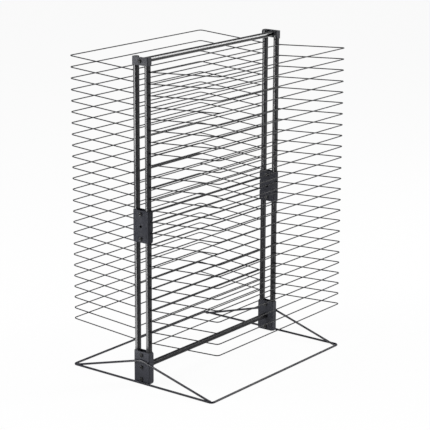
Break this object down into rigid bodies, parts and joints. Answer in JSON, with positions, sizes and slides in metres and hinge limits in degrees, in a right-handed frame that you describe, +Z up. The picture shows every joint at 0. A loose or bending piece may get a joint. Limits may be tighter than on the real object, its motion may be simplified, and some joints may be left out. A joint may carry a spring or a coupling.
{
  "type": "art drying rack",
  "caption": "Free-standing double-sided wire rack for drying painted sheets, with outline wire shelves on both sides of a central frame.",
  "frame": {"origin": "on the floor under the middle of the rack, at the centre of its footprint", "axes": "+Z up; Y along the rack from the near end (-Y) to the far end (+Y); X across the rack, from the left-hand shelves (-X) to the right-hand shelves (+X)"},
  "size_m": [0.4306, 0.507, 0.758],
  "materials": {
    "shelf_wire_coat": "satin black powder coat on wire",
    "base_wire_coat": "satin black powder coat on wire",
    "post_coat": "fine-textured black powder coat",
    "bracket_coat": "fine-textured charcoal black powder coat",
    "tube_coat": "gloss black coat",
    "rail_coat": "satin black powder coat",
    "fastener_black": "black oxide",
    "insert_steel": "zinc-plated",
    "cap_plastic": "black moulded plastic"
  },
  "bodies": {
    "root": {"base_backing_plate_far": "bracket_coat", "base_backing_plate_near": "bracket_coat", "base_bracket_far": "bracket_coat", "base_bracket_near": "bracket_coat", "base_ring": "base_wire_coat", "bottom_rail": "rail_coat", "brace_far": "base_wire_coat", "brace_near": "base_wire_coat", "clamp_nuts": "fastener_black", "clamp_screws": "fastener_black", "post_caps": "cap_plastic", "post_lower_left_far": "post_coat", "post_lower_left_near": "post_coat", "post_lower_right_far": "post_coat", "post_lower_right_near": "post_coat", "post_upper_left_far": "post_coat", "post_upper_left_near": "post_coat", "post_upper_right_far": "post_coat", "post_upper_right_near": "post_coat", "rail_inserts": "insert_steel", "rail_screws": "fastener_black", "shelf_pair_01": "shelf_wire_coat", "shelf_pair_02": "shelf_wire_coat", "shelf_pair_03": "shelf_wire_coat", "shelf_pair_04": "shelf_wire_coat", "shelf_pair_05": "shelf_wire_coat", "shelf_pair_06": "shelf_wire_coat", "shelf_pair_07": "shelf_wire_coat", "shelf_pair_08": "shelf_wire_coat", "shelf_pair_09": "shelf_wire_coat", "shelf_pair_10": "shelf_wire_coat", "shelf_pair_11": "shelf_wire_coat", "shelf_pair_12": "shelf_wire_coat", "shelf_pair_13": "shelf_wire_coat", "shelf_pair_14": "shelf_wire_coat", "shelf_pair_15": "shelf_wire_coat", "shelf_pair_16": "shelf_wire_coat", "shelf_pair_17": "shelf_wire_coat", "shelf_pair_18": "shelf_wire_coat", "shelf_pair_19": "shelf_wire_coat", "shelf_pair_20": "shelf_wire_coat", "shelf_pair_21": "shelf_wire_coat", "shelf_pair_22": "shelf_wire_coat", "shelf_pair_23": "shelf_wire_coat", "shelf_pair_24": "shelf_wire_coat", "shelf_pair_25": "shelf_wire_coat", "splice_backing_plate_far": "bracket_coat", "splice_backing_plate_near": "bracket_coat", "splice_bracket_far": "bracket_coat", "splice_bracket_near": "bracket_coat", "top_bracket_far": "bracket_coat", "top_bracket_near": "bracket_coat", "top_tube": "tube_coat", "top_tube_inserts": "insert_steel", "top_tube_screws": "fastener_black"}
  },
  "joints": []
}
